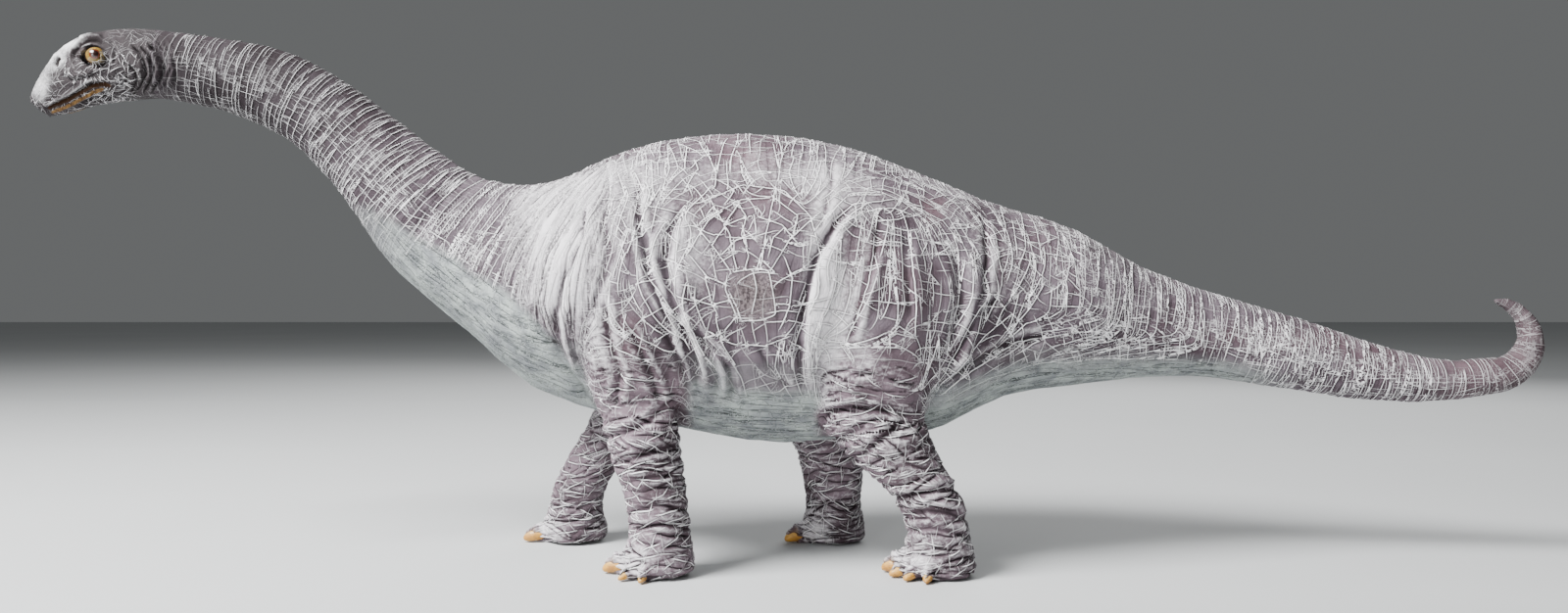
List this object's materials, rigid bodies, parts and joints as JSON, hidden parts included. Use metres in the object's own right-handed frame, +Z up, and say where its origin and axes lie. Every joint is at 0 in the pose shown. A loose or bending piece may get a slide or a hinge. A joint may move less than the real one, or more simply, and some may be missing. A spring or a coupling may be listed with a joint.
{
  "type": "toy dinosaur figure",
  "caption": "Long-necked dinosaur figure in a walking pose: hollow torso shells clamp plug-in legs, neck and an upturned tail, under a wrinkled, dry-brushed skin.",
  "frame": {"origin": "centre of the figure's bounding box on the plane of its soles", "axes": "+X towards the tail, +Y towards the animal's own right side, +Z up"},
  "size_m": [0.5004, 0.0894, 0.1777],
  "materials": {
    "body_skin": "soft vinyl painted mauve grey and dry-brushed near white, pale green-white underneath",
    "leg_skin": "soft vinyl painted mauve grey and dry-brushed near white, tan claws",
    "eye": "glossy amber with a dark pupil",
    "wire": "plain annealed steel"
  },
  "bodies": {
    "root": {"torso_left_shell": "body_skin", "torso_right_shell": "body_skin", "neck": "body_skin", "head": "body_skin", "tail": "body_skin", "left_eye": "eye", "right_eye": "eye", "front_left_leg": "leg_skin", "front_right_leg": "leg_skin", "hind_left_leg": "leg_skin", "hind_right_leg": "leg_skin", "neck_wire": "wire", "tail_wire": "wire"}
  },
  "joints": []
}
